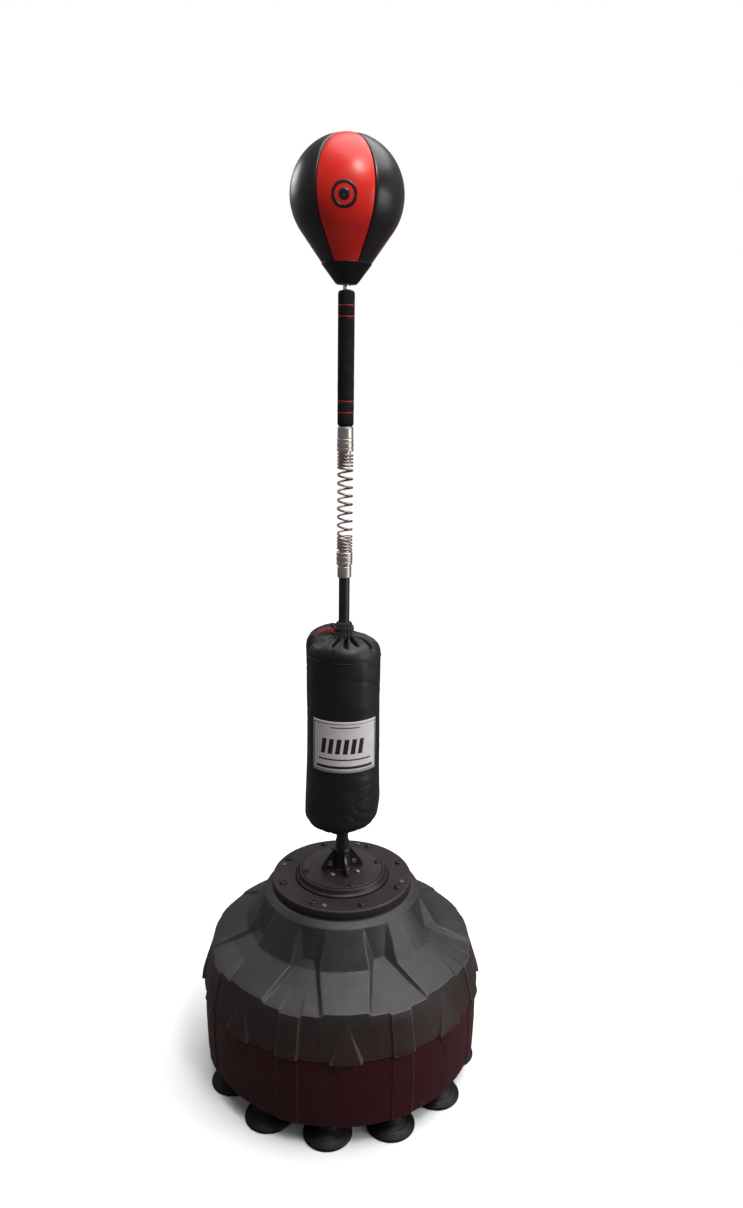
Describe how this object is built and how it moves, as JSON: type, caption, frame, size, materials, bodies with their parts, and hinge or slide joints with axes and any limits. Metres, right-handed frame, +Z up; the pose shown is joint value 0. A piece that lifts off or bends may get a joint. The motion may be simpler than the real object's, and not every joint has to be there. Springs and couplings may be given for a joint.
{
  "type": "spring reflex bag",
  "caption": "Free-standing reflex bag: dome ballast tank on suction cups, telescoping mast in a lower striking bag, coil spring, foam grip and panelled speed ball.",
  "frame": {"origin": "on the floor under the middle of the mast", "axes": "+Z up along the mast, -Y the front, with the label and a red ball panel, +X to the viewer's right"},
  "size_m": [0.6126, 0.6126, 1.908],
  "materials": {
    "tank_plastic": "satin",
    "cup_rubber": "satin",
    "zinc_steel": "satin",
    "insert_plastic": "matte",
    "hub_plastic": "satin",
    "ring_plastic": "satin",
    "black_bolts": "satin",
    "grey_bolts": "satin",
    "bright_bolts": "satin",
    "plate_steel": "satin",
    "mast_paint": "gloss",
    "bag_filling": "matte",
    "bag_vinyl": "satin",
    "neck_fabric": "matte",
    "label_print": "satin",
    "red_tape": "matte",
    "cap_plastic": "satin",
    "seal_rubber": "matte",
    "nickel": "satin",
    "spring_steel": "satin",
    "tube_aluminium": "satin",
    "grip_foam": "matte",
    "red_rings": "satin",
    "chrome": "polished",
    "ball_rubber": "matte",
    "cup_black": "satin",
    "ball_red": "gloss",
    "ball_black": "gloss"
  },
  "bodies": {
    "base": {"base_tank": "tank_plastic", "cup_studs": "zinc_steel", "mounting_insert": "insert_plastic", "mount_hub": "hub_plastic", "clamp_ring": "ring_plastic", "ring_bolts": "black_bolts", "ring_screws": "grey_bolts", "mast_plate": "plate_steel", "plate_bolts": "black_bolts", "mast_socket": "mast_paint", "socket_gussets": "mast_paint", "socket_screws": "bright_bolts", "mast_lower": "mast_paint", "bag_foam": "bag_filling", "bag_cover": "bag_vinyl", "bag_neck": "neck_fabric", "bag_label": "label_print", "tie_tape": "red_tape", "foot_tie": "neck_fabric", "suction_cup_01": "cup_rubber", "suction_cup_02": "cup_rubber", "suction_cup_03": "cup_rubber", "suction_cup_04": "cup_rubber", "suction_cup_05": "cup_rubber", "suction_cup_06": "cup_rubber", "suction_cup_07": "cup_rubber", "suction_cup_08": "cup_rubber", "suction_cup_09": "cup_rubber", "suction_cup_10": "cup_rubber", "suction_cup_11": "cup_rubber", "suction_cup_12": "cup_rubber"},
    "filler_cap": {"filler_cap": "cap_plastic", "filler_seal": "seal_rubber"},
    "upper_mast": {"mast_upper": "mast_paint", "mast_foot": "insert_plastic", "lower_ferrule": "nickel", "lower_collar": "nickel"},
    "spring_mid": {"flex_spring": "spring_steel"},
    "head": {"upper_collar": "nickel", "upper_ferrule": "nickel", "head_tube": "tube_aluminium", "foam_grip": "grip_foam", "grip_rings": "red_rings", "tube_plug": "insert_plastic", "ball_stud": "chrome", "jam_nut": "chrome", "ball_insert": "ball_rubber", "ball_bladder": "ball_rubber", "ball_cup": "cup_black", "ball_panel_1": "ball_red", "ball_panel_2": "ball_black", "ball_panel_3": "ball_red", "ball_panel_4": "ball_black", "ball_panel_5": "ball_red", "ball_panel_6": "ball_black"}
  },
  "joints": [
    {"name": "height_slide", "type": "slide", "parent": "base", "child": "upper_mast", "axis": [0, 0, 1], "range_m": [-0.07, 0.11]},
    {"name": "spring_bend_front", "type": "hinge", "parent": "upper_mast", "child": "spring_mid", "pos_m": [0, 0, 1.195], "axis": [1, 0, 0], "range_deg": [-45, 45], "stiffness_Nm_per_rad": 45, "deforming": ["flex_spring"]},
    {"name": "spring_bend_side", "type": "hinge", "parent": "spring_mid", "child": "head", "pos_m": [0, 0, 1.294], "axis": [0, 1, 0], "range_deg": [-45, 45], "stiffness_Nm_per_rad": 45, "deforming": ["flex_spring"]},
    {"name": "cap_unscrew", "type": "slide", "parent": "base", "child": "filler_cap", "axis": [-0.0323, 0.499, 0.866], "range_m": [0, 0.05]}
  ]
}
